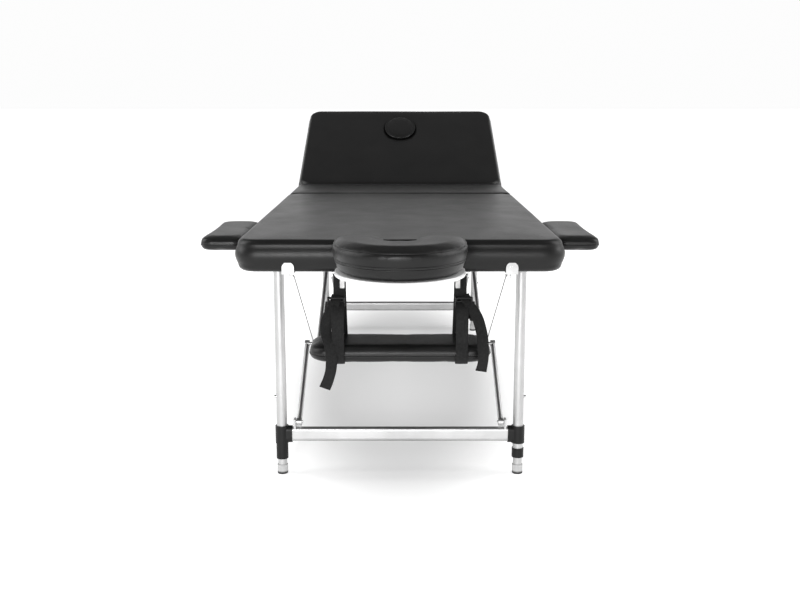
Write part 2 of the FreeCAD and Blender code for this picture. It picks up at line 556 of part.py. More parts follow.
# Horseshoe outlines: outer half circle to the front and two arms towards the table
def horseshoe(name, half_width, gap_half, front, arm_end, inner_back, low, tall, rim):
    body = doc.addObject("PartDesign::Body", name + "_body")
    sketch = body.newObject("Sketcher::SketchObject", name + "_sketch")
    plane = [f for f in body.Origin.OriginFeatures if f.Role == "XY_Plane"][0]
    sketch.AttachmentSupport = (plane, [""])
    sketch.MapMode = "FlatFace"
    cy = front + half_width
    zero = V(0, 0, 1)
    off = -S.origin_along
    tip = (half_width - gap_half) / 2
    mid = (half_width + gap_half) / 2
    arc = Part.ArcOfCircle
    sketch.addGeometry([
        arc(Part.Circle(V(0, cy + off, 0), zero, half_width), math.pi, 2 * math.pi),
        Part.LineSegment(V(half_width, cy + off, 0), V(half_width, arm_end - tip + off, 0)),
        arc(Part.Circle(V(mid, arm_end - tip + off, 0), zero, tip), 0, math.pi),
        Part.LineSegment(V(gap_half, arm_end - tip + off, 0), V(gap_half, cy + inner_back + off, 0)),
        arc(Part.Circle(V(0, cy + inner_back + off, 0), zero, gap_half), math.pi, 2 * math.pi),
        Part.LineSegment(V(-gap_half, cy + inner_back + off, 0), V(-gap_half, arm_end - tip + off, 0)),
        arc(Part.Circle(V(-mid, arm_end - tip + off, 0), zero, tip), 0, math.pi),
        Part.LineSegment(V(-half_width, arm_end - tip + off, 0), V(-half_width, cy + off, 0)),
    ], False)
    pad = body.newObject("PartDesign::Pad", name + "_pad")
    pad.Profile = sketch
    pad.setExpression("Length", str(tall) if not isinstance(tall, str) else "sizes." + tall)
    body.Placement.Base = V(0, 0, low)
    doc.recompute()
    if rim:
        round_rim = body.newObject("PartDesign::Fillet", name + "_rim")
        faces = [i for i, f in enumerate(pad.Shape.Faces, start=1) if abs(f.normalAt(0, 0).z) > 0.9]
        round_rim.Base = (pad, ["Face%d" % i for i in faces])
        round_rim.Radius = rim
        body.Tip = round_rim
    return body


half = S.cushion_width / 2
node("cradle_cushion", horseshoe("cushion", half, S.cushion_gap / 2, S.cushion_front, -14,
                                 20, S.cushion_floor, "cushion_tall", 20))
plate = horseshoe("platform", half - 4, S.cushion_gap / 2 + 8, S.cushion_front + 4, -48,
                  6, S.cushion_floor - 8.3, 8, 3)
hangers = []
for side, sign in SIDES:
    x = sign * 80
    hanger = box(side + "_hanger", 6, 44, 14, place(x - 3, cross_y - 34, S.post_height - 9.5))
    hangers.append(hanger)
cradle_plate = fuse("cradle_plate", [plate] + hangers)
node("cradle_platform", cut("cradle_plate_bored", cradle_plate,
                            rod("cross_bore", 6.05, place(-150, cross_y, S.post_height),
                                place(150, cross_y, S.post_height))))
for side, sign in SIDES:
    hub = rod(side + "_cam_hub", 7, place(sign * 113.5, cross_y, S.post_height),
              place(sign * 126, cross_y, S.post_height))
    grip = box(side + "_cam_grip", 9, 12, 38, place(sign * 120 - 4.5, cross_y - 6, S.post_height - 42))
    node(side + "_cam_lever", fuse(side + "_cam", [hub, grip]))

# Arm shelf hanging on two webbing straps with ladder buckles
shelf_y = S.shelf_front
shelf = slab("shelf", "shelf_width", "shelf_depth", "shelf_thick",
             place(-S.shelf_width / 2, shelf_y, S.shelf_height), 40, 14)
node("arm_shelf", shelf)
straps, buckles = [], []
for side, sign in SIDES:
    x = sign * S.strap_x
    shelf_top = S.shelf_height + S.shelf_thick
    band = [cut(side + "_strap_loop", rod(side + "_loop_body", 5.5, at(x - S.strap_wide / 2, STRAP_BAR),
                                         at(x + S.strap_wide / 2, STRAP_BAR)),
                rod(side + "_loop_bore", 2.55, at(x - 30, STRAP_BAR), at(x + 30, STRAP_BAR)))]
    for label, along, up_to in (("fore", -34, -4), ("aft", 72, 4)):
        low = place(x, along, shelf_top + 0.3)
        high = at(x, (STRAP_BAR[0] + up_to, STRAP_BAR[1]))
        run = box("%s_%s_strap" % (side, label), "strap_wide", "strap_thick", (high - low).Length, V())
        turn = FreeCAD.Rotation(V(1, 0, 0), math.degrees(math.atan2(low.y - high.y, high.z - low.z)))
        run.Placement = FreeCAD.Placement(low + turn.multVec(V(-S.strap_wide / 2, -S.strap_thick / 2, 0)),
                                          turn)
        band.append(run)
    straps.append(fuse(side + "_strap_band", band))
    tail_x = x + sign * 22 - S.strap_wide / 2
    start, bend = place(tail_x, -12, 478), place(tail_x, S.shelf_front - 8, 398)
    slope = box(side + "_tail_slope", S.strap_wide, S.strap_thick, (bend - start).Length - 3, V())
    lean = math.degrees(math.atan2(start.y - bend.y, bend.z - start.z))
    slope.Placement = FreeCAD.Placement(start, FreeCAD.Rotation(V(1, 0, 0), lean))
    end_z = 322 if sign < 0 else 342
    drop = box(side + "_tail_drop", S.strap_wide, S.strap_thick, 396 - end_z,
               place(tail_x, S.shelf_front - 8, end_z))
    straps += [slope, drop]
    low_x = x - 15 if sign > 0 else x - 15 - 22
    buckles.append(box(side + "_buckle_body", 52, 7, 20, place(low_x, -14, 482)))
node("shelf_straps", group("strap_set", straps))
node("strap_buckles", group("buckle_pair", buckles))

# Armrests on two posts each
for side, sign in SIDES:
    inner = S.top_width / 2 + S.arm_gap
    low_x = inner if sign > 0 else -inner - S.arm_width
    pad = slab(side + "_arm", "arm_width", "arm_length", "arm_thick",
               place(low_x, S.arm_front, S.arm_top - S.arm_thick), 28, 12)
    posts = []
    for label, along in (("fore", 240), ("aft", 400)):
        z = S.post_height + 12
        posts.append(rod("%s_arm_post_%s" % (side, label), "post_radius",
                         place(sign * (S.top_width / 2 - 100), along, z), place(sign * (inner + 70), along,
                                                                                z)))
    bars = group(side + "_arm_posts", posts)
    node(side + "_armrest_pad", cut(side + "_arm_bored", pad, bars))
    node(side + "_armrest_posts", bars)

doc.recompute()
for obj in doc.Objects:
    if "Invalid" in obj.State or "Error" in obj.State:
        raise RuntimeError("%s failed: %s" % (obj.Name, obj.State))
for name, obj in nodes.items():
    if obj.Shape.isNull() or not obj.Shape.isValid() or not obj.Shape.Solids:
        raise RuntimeError("%s has a bad shape" % name)
for name, obj in nodes.items():
    obj.Shape.exportStep("parts/%s.step" % name)
bounds = FreeCAD.BoundBox()
for obj in nodes.values():
    bounds.add(obj.Shape.BoundBox)
print(len(nodes), "nodes", bounds)
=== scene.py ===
"""The looks of the portable massage table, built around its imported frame. Metres, +Z up."""
import bmesh
import bpy
import json
import math
from mathutils import Matrix, Vector, noise


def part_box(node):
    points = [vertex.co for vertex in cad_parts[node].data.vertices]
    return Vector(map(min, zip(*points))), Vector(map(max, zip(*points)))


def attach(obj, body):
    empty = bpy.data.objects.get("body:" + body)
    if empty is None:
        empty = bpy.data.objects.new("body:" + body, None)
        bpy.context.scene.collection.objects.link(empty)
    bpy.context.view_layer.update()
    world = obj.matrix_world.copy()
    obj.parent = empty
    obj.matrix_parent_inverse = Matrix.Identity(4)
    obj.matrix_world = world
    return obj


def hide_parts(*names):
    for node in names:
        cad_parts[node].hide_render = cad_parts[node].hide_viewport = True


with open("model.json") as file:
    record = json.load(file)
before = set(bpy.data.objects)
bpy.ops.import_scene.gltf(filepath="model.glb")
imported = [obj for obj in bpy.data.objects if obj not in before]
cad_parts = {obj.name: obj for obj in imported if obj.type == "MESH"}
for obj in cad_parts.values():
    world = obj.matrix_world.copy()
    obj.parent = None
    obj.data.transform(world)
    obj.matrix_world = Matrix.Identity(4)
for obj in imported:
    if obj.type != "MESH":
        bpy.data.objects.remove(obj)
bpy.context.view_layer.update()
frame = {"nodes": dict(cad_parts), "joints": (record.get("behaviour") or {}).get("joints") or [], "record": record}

BACK_ANGLE = math.radians(25)
BACK_LENGTH = 0.570
TOP_WIDTH = 0.700
PAD_DEPTH = 0.070
HINGE_DROP = 0.008
HOLE = (0.0565, 0.088)
HOLE_INSET = 0.157
CAMERA_SPOT = (0.0, -2.7354, 0.904)
CAMERA_PITCH = math.radians(12.37)
CAMERA_LENS = 42.0
VOXEL = 0.0045
CLOTH_FRAMES = 20
PAD_CORNER = 0.044
STRAP_WIDE, STRAP_THICK = 0.026, 0.0019


def joint(name):
    return next(j for j in frame["joints"] if j["name"] == name)


# Camera, floor and light ------------------------------------------------------------------
def add_camera():
    data = bpy.data.cameras.new("camera")
    data.lens = CAMERA_LENS
    cam = bpy.data.objects.new("camera", data)
    bpy.context.collection.objects.link(cam)
    cam.location = CAMERA_SPOT
    cam.rotation_euler = (math.pi / 2 - CAMERA_PITCH, 0, 0)
    bpy.context.scene.camera = cam


def area_light(name, spot, target, size, power):
    data = bpy.data.lights.new(name, "AREA")
    data.shape = "RECTANGLE"
    data.size, data.size_y = size
    data.energy = power
    lamp = bpy.data.objects.new(name, data)
    bpy.context.collection.objects.link(lamp)
    lamp.location = spot
    lamp.rotation_euler = (Vector(target) - Vector(spot)).to_track_quat("-Z", "Y").to_euler()


def add_world():
    """White to a little above the horizon, dark above that and paler overhead."""
    bpy.context.scene.view_settings.view_transform = "Standard"
    world = bpy.data.worlds.new("studio")
    bpy.context.scene.world = world
    world.use_nodes = True
    tree = world.node_tree
    background = tree.nodes["Background"]
    background.inputs["Strength"].default_value = 1.0
    direction = tree.nodes.new("ShaderNodeTexCoord").outputs["Generated"]
    split = tree.nodes.new("ShaderNodeSeparateXYZ")
    tree.links.new(direction, split.inputs["Vector"])
    ramp = tree.nodes.new("ShaderNodeValToRGB")
    stops = ramp.color_ramp.elements
    stops[0].position, stops[0].color = 0.30, (0.98, 0.98, 0.98, 1)
    stops[1].position, stops[1].color = 0.85, (0.30, 0.30, 0.30, 1)
    middle = stops.new(0.50)
    middle.color = (0.10, 0.10, 0.10, 1)
    tree.links.new(split.outputs["Z"], ramp.inputs["Fac"])
    tree.links.new(ramp.outputs["Color"], background.inputs["Color"])


def add_lights():
    """A softbox high on either side and two small ones in front, the left one the stronger."""
    area_light("left_softbox", (-3.4, -0.2, 2.6), (0, 0.2, 0.3), (2.2, 3.2), 85)
    area_light("right_softbox", (3.4, -0.2, 2.6), (0, 0.2, 0.3), (2.2, 3.2), 85)
    area_light("front_left_strip", (-0.75, -4.6, 1.2), (-0.2, -0.8, 0.55), (0.8, 0.6), 90)
    area_light("front_right_strip", (0.7, -4.6, 1.2), (0.2, -0.8, 0.55), (0.5, 0.6), 13)


def add_floor():
    """A pale floor with painted light: it glows everywhere, weakly near the table and more strongly away from it,
    by a squashed distance from it, so a painted shadow lies under the table.
    """
    bpy.ops.mesh.primitive_plane_add(size=120, location=(0, 0, -0.0005))
    floor = bpy.context.active_object
    floor.name = "floor"
    material = bpy.data.materials.new("floor_white_painted_shadow")
    material.use_nodes = True
    shader = material.node_tree.nodes["Principled BSDF"]
    shader.inputs["Base Color"].default_value = (0.75, 0.75, 0.75, 1)
    shader.inputs["Roughness"].default_value = 0.6
    shader.inputs["Specular IOR Level"].default_value = 0.2
    shader.inputs["Emission Color"].default_value = (1, 1, 1, 1)
    nodes, links = material.node_tree.nodes, material.node_tree.links
    reach = nodes.new("ShaderNodeVectorMath")
    reach.operation = "LENGTH"
    squash = nodes.new("ShaderNodeMapping")
    squash.inputs["Scale"].default_value = (2.0, 0.62, 1)
    squash.inputs["Location"].default_value = (0, -0.18, 0)
    links.new(nodes.new("ShaderNodeTexCoord").outputs["Object"], squash.inputs["Vector"])
    links.new(squash.outputs["Vector"], reach.inputs[0])
    # Painted light: the floor's glow is weak near the table and strong away from it, which paints a shadow under
    # the table.
    painted_shadow_glow = nodes.new("ShaderNodeMapRange")
    painted_shadow_glow.interpolation_type = "SMOOTHSTEP"
    painted_shadow_glow.inputs["From Min"].default_value = 0.42
    painted_shadow_glow.inputs["From Max"].default_value = 0.95
    painted_shadow_glow.inputs["To Min"].default_value = 0.08
    painted_shadow_glow.inputs["To Max"].default_value = 0.80
    links.new(reach.outputs["Value"], painted_shadow_glow.inputs["Value"])
    links.new(painted_shadow_glow.outputs["Result"], shader.inputs["Emission Strength"])
    floor.data.materials.append(material)


# Materials ----------------------------------------------------------------------------------
class Shader:
    """A Principled material with a few helpers for its nodes."""

    def __init__(self, name, rough, metallic=0.0, **sockets):
        self.material = bpy.data.materials.new(name)
        self.material.use_nodes = True
        self.tree = self.material.node_tree
        self.bsdf = self.tree.nodes["Principled BSDF"]
        self.bsdf.inputs["Roughness"].default_value = rough
        self.bsdf.inputs["Metallic"].default_value = metallic
        for key, value in sockets.items():
            self.bsdf.inputs[key.replace("_", " ")].default_value = value
        self.coords = self.tree.nodes.new("ShaderNodeTexCoord").outputs["Object"]
        self.normal = None

    def link(self, source, target):
        self.tree.links.new(source, target)

    def stretched(self, scale):
        mapping = self.tree.nodes.new("ShaderNodeMapping")
        mapping.inputs["Scale"].default_value = scale
        self.link(self.coords, mapping.inputs["Vector"])
        return mapping.outputs["Vector"]

    def noise(self, scale, detail=2.0, stretch=None):
        node = self.tree.nodes.new("ShaderNodeTexNoise")
        node.inputs["Scale"].default_value = scale
        node.inputs["Detail"].default_value = detail
        self.link(self.stretched(stretch) if stretch else self.coords, node.inputs["Vector"])
        return node.outputs["Fac"]

    def cells(self, scale, feature="F1"):
        node = self.tree.nodes.new("ShaderNodeTexVoronoi")
        node.feature = feature
        node.inputs["Scale"].default_value = scale
        self.link(self.coords, node.inputs["Vector"])
        return node.outputs["Distance"]

    def wave(self, scale, direction, distortion=0.0):
        node = self.tree.nodes.new("ShaderNodeTexWave")
        node.bands_direction = direction
        node.inputs["Scale"].default_value = scale
        node.inputs["Distortion"].default_value = distortion
        self.link(self.coords, node.inputs["Vector"])
        return node.outputs["Fac"]

    def ramp(self, source, low, high, spots=(0.3, 0.7)):
        node = self.tree.nodes.new("ShaderNodeValToRGB")
        for stop, value, spot in zip(node.color_ramp.elements, (low, high), spots):
            stop.color = value if isinstance(value, tuple) else (value, value, value, 1)
            stop.position = spot
        self.link(source, node.inputs["Fac"])
        return node.outputs["Color"]

    def bump(self, height, distance, strength=1.0):
        node = self.tree.nodes.new("ShaderNodeBump")
        node.inputs["Distance"].default_value = distance
        node.inputs["Strength"].default_value = strength
        self.link(height, node.inputs["Height"])
        if self.normal:
            self.link(self.normal, node.inputs["Normal"])
        self.normal = node.outputs["Normal"]
        self.link(self.normal, self.bsdf.inputs["Normal"])

    def colour(self, source, low, high, spots=(0.3, 0.7)):
        self.link(self.ramp(source, low, high, spots), self.bsdf.inputs["Base Color"])

    def roughness(self, source, low, high):
        self.link(self.ramp(source, low, high), self.bsdf.inputs["Roughness"])


def grey(value, warm=0.0):
    return (value * (1 + warm), value, value * (1 - warm), 1)


def make_leather():
    s = Shader("leather_black", 0.4, Specular_IOR_Level=0.27)
    s.colour(s.noise(9, 3), grey(0.003), grey(0.005, 0.02))
    s.roughness(s.noise(14, 2), 0.33, 0.38)
    s.bump(s.noise(5.5, 1), 0.0012, 0.25)
    s.bump(s.cells(620, "DISTANCE_TO_EDGE"), 0.00035, 0.55)
    s.bump(s.noise(1500, 2), 0.0001, 0.4)
    return s.material


def make_webbing():
    s = Shader("webbing_black", 0.78, Specular_IOR_Level=0.25)
    s.colour(s.noise(300, 2), grey(0.003), grey(0.010))
    s.bump(s.wave(330, "X"), 0.0003, 0.6)
    s.bump(s.wave(210, "Z", 0.6), 0.00025, 0.5)
    return s.material


def make_thread():
    s = Shader("stitch_thread", 0.6)
    s.colour(s.noise(900, 2), grey(0.03), grey(0.06))
    s.bump(s.noise(2600, 1), 0.0001)
    return s.material


def make_plastic():
    s = Shader("plastic_black", 0.42, Specular_IOR_Level=0.25)
    s.colour(s.noise(30, 2), grey(0.003), grey(0.006))
    s.roughness(s.noise(120, 2), 0.36, 0.5)
    s.bump(s.noise(900, 3), 0.00012, 0.6)
    return s.material


def make_rubber():
    """Feet: pale ribbed plastic with a dark tread at the floor."""
    s = Shader("rubber_foot", 0.5)
    split = s.tree.nodes.new("ShaderNodeSeparateXYZ")
    s.link(s.coords, split.inputs["Vector"])
    s.colour(split.outputs["Z"], grey(0.01), grey(0.42), (0.005, 0.0065))
    s.bump(s.wave(38, "Z"), 0.0006, 0.5)
    s.bump(s.noise(700, 3), 0.0002, 0.6)
    return s.material


def make_white():
    s = Shader("plastic_white", 0.22, Coat_Weight=0.3, Coat_Roughness=0.1)
    s.colour(s.noise(20, 2), grey(0.74), grey(0.80))
    s.bump(s.noise(300, 2), 0.00006, 0.4)
    return s.material


def make_aluminium():
    s = Shader("aluminium_satin", 0.3, 1.0, Anisotropic=0.4)
    s.colour(s.noise(14, 2), grey(0.44), grey(0.52))
    s.roughness(s.noise(240, 3, (1, 1, 0.03)), 0.38, 0.46)
    s.bump(s.noise(2600, 2, (1, 1, 0.02)), 0.00004, 0.5)
    return s.material


def make_bar_aluminium():
    s = Shader("aluminium_bar", 0.32, 1.0, Anisotropic=0.4)
    s.colour(s.noise(14, 2), grey(0.48), grey(0.56))
    s.roughness(s.noise(240, 3, (0.03, 1, 1)), 0.36, 0.46)
    s.bump(s.noise(2600, 2, (0.02, 1, 1)), 0.00004, 0.5)
    return s.material


def make_chrome():
    s = Shader("chrome", 0.09, 1.0)
    s.colour(s.noise(40, 2), grey(0.40), grey(0.50))
    s.roughness(s.noise(180, 3), 0.05, 0.16)
    s.bump(s.noise(600, 2), 0.00003, 0.3)
    return s.material


def make_cable():
    s = Shader("steel_cable", 0.34, 1.0)
    s.colour(s.wave(900, "DIAGONAL"), grey(0.22), grey(0.45))
    s.bump(s.wave(900, "DIAGONAL"), 0.0003, 0.8)
    return s.material


def make_zinc():
    s = Shader("zinc_steel", 0.4, 1.0)
    s.colour(s.cells(55), grey(0.26), grey(0.38, 0.01))
    s.roughness(s.noise(90, 3), 0.3, 0.5)
    s.bump(s.noise(800, 2), 0.00005, 0.5)
    return s.material


def make_plywood():
    s = Shader("plywood", 0.62)
    s.colour(s.noise(26, 4, (1, 0.06, 1)), (0.40, 0.25, 0.13, 1), (0.56, 0.39, 0.22, 1))
    s.bump(s.noise(190, 3, (1, 0.04, 1)), 0.0003, 0.5)
    return s.material


def make_foam():
    s = Shader("foam", 0.9)
    s.colour(s.noise(240, 3), (0.60, 0.55, 0.38, 1), (0.72, 0.66, 0.47, 1))
    s.bump(s.cells(500), 0.0006, 0.8)
    return s.material


MATERIALS = {
    "leather": make_leather(), "webbing": make_webbing(), "thread": make_thread(),
    "black_plastic": make_plastic(), "rubber": make_rubber(), "white_plastic": make_white(),
    "aluminium": make_aluminium(), "bar": make_bar_aluminium(), "chrome": make_chrome(),
    "cable": make_cable(), "zinc_steel": make_zinc(), "plywood": make_plywood(), "foam": make_foam(),
}


def dress_frame():
    """Gives every carried-over node its finished material."""
    special = {"front_crossbar": "bar", "rear_crossbar": "bar", "front_stay_cables": "cable",
               "rear_stay_cables": "cable", "left_cam_lever": "zinc_steel",
               "right_cam_lever": "zinc_steel"}
    slots = {row["node"]: row["material_slot"] for row in frame["record"]["subparts"]}
    for name, obj in frame["nodes"].items():
        material = MATERIALS[special.get(name, slots[name])]
        if not obj.material_slots:
            obj.data.materials.append(material)
        for place in obj.material_slots:
            place.material = material


# Mesh helpers ---------------------------------------------------------------------------------
def finish_piece(name, verts, faces, body, material, replaced=(), smooth=True, matrix=None):
    mesh = bpy.data.meshes.new(name)
    mesh.from_pydata(verts, [], faces)
    if matrix:
        mesh.transform(matrix)
    made = bmesh.new()
    made.from_mesh(mesh)
    bmesh.ops.remove_doubles(made, verts=made.verts, dist=1e-6)
    bmesh.ops.recalc_face_normals(made, faces=made.faces)
    made.to_mesh(mesh)
    made.free()
    mesh.update()
    obj = bpy.data.objects.new(name, mesh)
    bpy.context.collection.objects.link(obj)
    mesh.materials.append(MATERIALS[material])
    for face in mesh.polygons:
        face.use_smooth = smooth
    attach(obj, body)
    if replaced:
        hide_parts(*replaced)
    return obj


def ring_faces(rings, count, looped=False):
    """Joins rings of count points each. The last meets the first if looped, else both ends are flat."""
    faces = []
    for r in range(rings if looped else rings - 1):
        near, far = r * count, (r + 1) % rings * count
        for k in range(count):
            nxt = (k + 1) % count
            faces.append((near + k, near + nxt, far + nxt, far + k))
    if not looped:
        last = (rings - 1) * count
        faces.append(tuple(range(count - 1, -1, -1)))
        faces.append(tuple(last + k for k in range(count)))
    return faces


def rounded_outline(width, length, radius, count=320):
    """Evenly spaced points round a rounded rectangle centred on the origin."""
    hx, hy = width / 2 - radius, length / 2 - radius
    corners = [(hx, hy), (-hx, hy), (-hx, -hy), (hx, -hy)]
    runs = [2 * hx, 2 * hy, 2 * hx, 2 * hy]
    bend = math.pi * radius / 2
    total = 4 * bend + sum(runs)
    points = []
    for i in range(count):
        along = total * i / count
        for quarter, (corner, run) in enumerate(zip(corners, runs)):
            if along < bend + run or quarter == 3:
                break
            along -= bend + run
        a = quarter * math.pi / 2 + min(along, bend) / radius
        spot = Vector(corner) + Vector((math.cos(a), math.sin(a))) * radius
        points.append(spot + Vector((-math.sin(a), math.cos(a))) * max(along - bend, 0))
    return points


def outward(points):
    """The unit normal of a closed outline at each of its points."""
    count = len(points)
    normals = []
    for i in range(count):
        way = points[(i + 1) % count] - points[i - 1]
        normals.append(Vector((way.y, -way.x)).normalized())
    return normals


def spine_target(point, width, length):
    """Where a top ring shrinks to: a short line down the pad's middle."""
    half = max(length - width, 0) / 2 + 0.01
    side = max(width - length, 0) / 2 + 0.01
    return Vector((max(-side, min(side, point.x)), max(-half, min(half, point.y))))


def pad_mesh(outline, targets, high, tight, soft_seed, open_hole):
    """A wrapped pad: rounded rims, slightly bulging sides, a crowned top with light tension waves."""
    low, edge, crown, bulge = 0.0006, 0.0145, 0.004, 0.006
    normals = outward(outline)
    gives = []
    for n in normals:
        facing = max(n.y * side for side in tight)
        gives.append(1 - 0.85 * min(max((facing - 0.1) / 0.4, 0), 1))
    rings = []

    def ring(inset, z, morph=0.0):
        pts = []
        for p, n, t, give in zip(outline, normals, targets, gives):
            q = p - n * (inset if inset > 0 else inset * give)
            q = q.lerp(t, morph)
            pts.append(Vector((q.x, q.y, z)))
        return pts

    steps = 7
    tall = high - low
    inward = (1.0, 0.75, 0.5, 0.25) if open_hole else (0.9, 0.6, 0.3, 0.12)
    rings += [ring(edge, low + 0.0004, m) for m in inward]
    for i in range(steps + 1):
        a = math.pi / 2 * i / steps
        rings.append(ring(edge * (1 - math.sin(a)), low + edge * (1 - math.cos(a))))
    for i in range(1, 8):
        share = i / 8
        out = bulge * math.sin(math.pi * share)
        z = low + edge + (tall - 2 * edge) * share
        rings.append(ring(-out, z))
    for i in range(steps + 1):
        a = math.pi / 2 * i / steps
        rings.append(ring(edge * (1 - math.cos(a)), high - edge + edge * math.sin(a)))
    spread = [0.015, 0.03, 0.05, 0.08, 0.12, 0.17, 0.23, 0.3, 0.38,
              0.46, 0.55, 0.64, 0.73, 0.82, 0.9, 0.96, 1.0]
    for s in spread:
        rise = math.sin(math.pi * s) ** 0.6 if open_hole else 1 - (1 - s) ** 3
        rings.append(ring(edge, high + crown * rise, s))
    if open_hole:
        for i in range(1, 6):
            share = i / 5
            z = high - 0.004 * share - (tall - 0.005) * share ** 2
            rings.append([Vector((t.x, t.y, z)) for t in targets])
    verts = [v for r in rings for v in r]
    for v in verts:
        wave = noise.noise(Vector((v.x * 7 + soft_seed, v.y * 5, v.z * 9)))
        if v.z > high - edge:
            v.z += 0.0011 * wave
    return verts, ring_faces(len(rings), len(outline), open_hole)


def section_pad(name, node, body, corner, tight, seed):
    low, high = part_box(node)
    width, length = high[0] - low[0], high[1] - low[1]
    outline = rounded_outline(width - 0.002, length - 0.002, corner)
    targets = [spine_target(p, width, length) for p in outline]
    verts, faces = pad_mesh(outline, targets, high[2] - low[2], tight, seed, False)
    shift = Matrix.Translation(((low[0] + high[0]) / 2, (low[1] + high[1]) / 2, low[2]))
    obj = finish_piece(name, verts, faces, body, "leather", (node,), matrix=shift)


def add_sections():
    section_pad("front_section", "front_cover", "front_half", PAD_CORNER, (1,), 1.0)
    section_pad("middle_section", "mid_cover", "rear_half", 0.02, (1, -1), 4.0)
    hinge = Vector(joint("backrest_fold")["pos_m"])
    outline = rounded_outline(TOP_WIDTH - 0.002, BACK_LENGTH - 0.002, PAD_CORNER)
    centre_y = BACK_LENGTH / 2 - HOLE_INSET
    targets = []
    for p in outline:
        a = math.atan2((p.y - centre_y) / BACK_LENGTH, p.x / TOP_WIDTH)
        targets.append(Vector((HOLE[0] * math.cos(a), centre_y + HOLE[1] * math.sin(a))))
    verts, faces = pad_mesh(outline, targets, PAD_DEPTH, (-1,), 9.0, True)
    flat = Matrix.Translation((0, BACK_LENGTH / 2 + 0.003, HINGE_DROP - PAD_DEPTH))
    matrix = Matrix.Translation(hinge) @ Matrix.Rotation(BACK_ANGLE, 4, "X") @ flat
    back = finish_piece("backrest_section", verts, faces, "backrest", "leather", ("back_cover",),
                        matrix=matrix)
    add_plug(matrix, centre_y)


def add_plug(matrix, centre_y):
    """The oval plug: a padded disc with a welted rim that stands a little above the backrest."""
    count = 160
    profile = [(0.90, 0.008), (1.0, 0.014), (1.0, 0.05), (1.0, 0.066), (1.035, 0.0725),
               (1.05, 0.0755), (1.02, 0.0785), (0.965, 0.0775), (0.93, 0.0765), (0.88, 0.0785),
               (0.75, 0.0805), (0.5, 0.082), (0.2, 0.0826)]
    verts = []
    for grow, z in profile:
        for k in range(count):
            a = 2 * math.pi * k / count
            verts.append(Vector(((HOLE[0] - 0.0016) * grow * math.cos(a),
                                 centre_y + (HOLE[1] - 0.0016) * grow * math.sin(a), z)))
    faces = ring_faces(len(profile), count)
    plug = finish_piece("face_plug", verts, faces, "face_hole_plug", "leather", ("face_hole_plug",),
                        matrix=matrix)


# Simulated cushions -----------------------------------------------------------------------------
def prism(outline, low, high, edge, waist=0.0):
    """A closed pad blank: flat faces, rounded rims and sides that may taper inwards below."""
    normals = outward(outline)
    rings = []
    steps = 4
    for i in range(steps + 1):
        a = math.pi / 2 * i / steps
        rings.append((waist + edge * (1 - math.sin(a)), low + edge * (1 - math.cos(a))))
    for i in range(steps + 1):
        a = math.pi / 2 * i / steps
        rings.append((edge * (1 - math.cos(a)), high - edge + edge * math.sin(a)))
    verts = []
    for inset, z in rings:
        verts += [Vector((p.x - n.x * inset, p.y - n.y * inset, z)) for p, n in zip(outline, normals)]
    return verts, ring_faces(len(rings), len(outline))


def inflate(obj, pressure, cap, flat_below):
    """Fills the cushion by cloth simulation, keeps each point within cap, and smooths the result."""
    bpy.context.view_layer.objects.active = obj
    remesh = obj.modifiers.new("remesh", "REMESH")
    remesh.mode = "VOXEL"
    remesh.voxel_size = VOXEL
    bpy.ops.object.modifier_apply(modifier=remesh.name)
    start = [v.co.copy() for v in obj.data.vertices]
    cloth = obj.modifiers.new("cloth", "CLOTH")
    cloth.settings.use_pressure = True
    cloth.settings.uniform_pressure_force = pressure
    cloth.settings.effector_weights.gravity = 0
    cloth.settings.tension_stiffness = 25
    cloth.settings.compression_stiffness = 25
    cloth.settings.bending_stiffness = 1.5
    cloth.point_cache.frame_start, cloth.point_cache.frame_end = 1, CLOTH_FRAMES
    scene = bpy.context.scene
    for frame_number in range(1, CLOTH_FRAMES + 1):
        scene.frame_set(frame_number)
    shaped = obj.evaluated_get(bpy.context.evaluated_depsgraph_get()).data
    moved = [v.co.copy() for v in shaped.vertices]
    obj.modifiers.remove(cloth)
    scene.frame_set(1)
    for vertex, old, new in zip(obj.data.vertices, start, moved):
        step = new - old
        if step.length > cap:
            step *= cap / step.length
        vertex.co = old + step
        if vertex.co.z < flat_below:
            vertex.co.z = flat_below
    soften = obj.modifiers.new("soften", "SMOOTH")
    soften.factor, soften.iterations = 0.5, 4
    bpy.ops.object.modifier_apply(modifier=soften.name)
    fine = obj.modifiers.new("fine", "SUBSURF")
    fine.levels = fine.render_levels = 1
    bpy.ops.object.modifier_apply(modifier=fine.name)
    for face in obj.data.polygons:
        face.use_smooth = True


def surface_line(obj, outline, z, reach=0.03, lift=0.0):
    """Where the cushion's side stands at height z, all the way round."""
    normals = outward(outline)
    found = []
    for p, n in zip(outline, normals):
        begin = Vector((p.x + n.x * reach, p.y + n.y * reach, z))
        hit, spot, normal, _ = obj.ray_cast(begin, Vector((-n.x, -n.y, 0)), distance=2.5 * reach)
        if hit:
            found.append(spot + normal * lift)
    return found


def welt(name, points, radius, body, sides=8):
    """A round closed welt along a line of points."""
    count = len(points)
    verts = []
    for i, p in enumerate(points):
        way = (points[(i + 1) % count] - points[i - 1]).normalized()
        side = way.cross(Vector((0, 0, 1)))
        side = side.normalized() if side.length > 1e-4 else Vector((1, 0, 0))
        up = side.cross(way).normalized()
        for s in range(sides):
            a = 2 * math.pi * s / sides
            verts.append(p + side * radius * math.cos(a) + up * radius * math.sin(a))
    finish_piece(name, verts, ring_faces(count, sides, True), body, "leather")


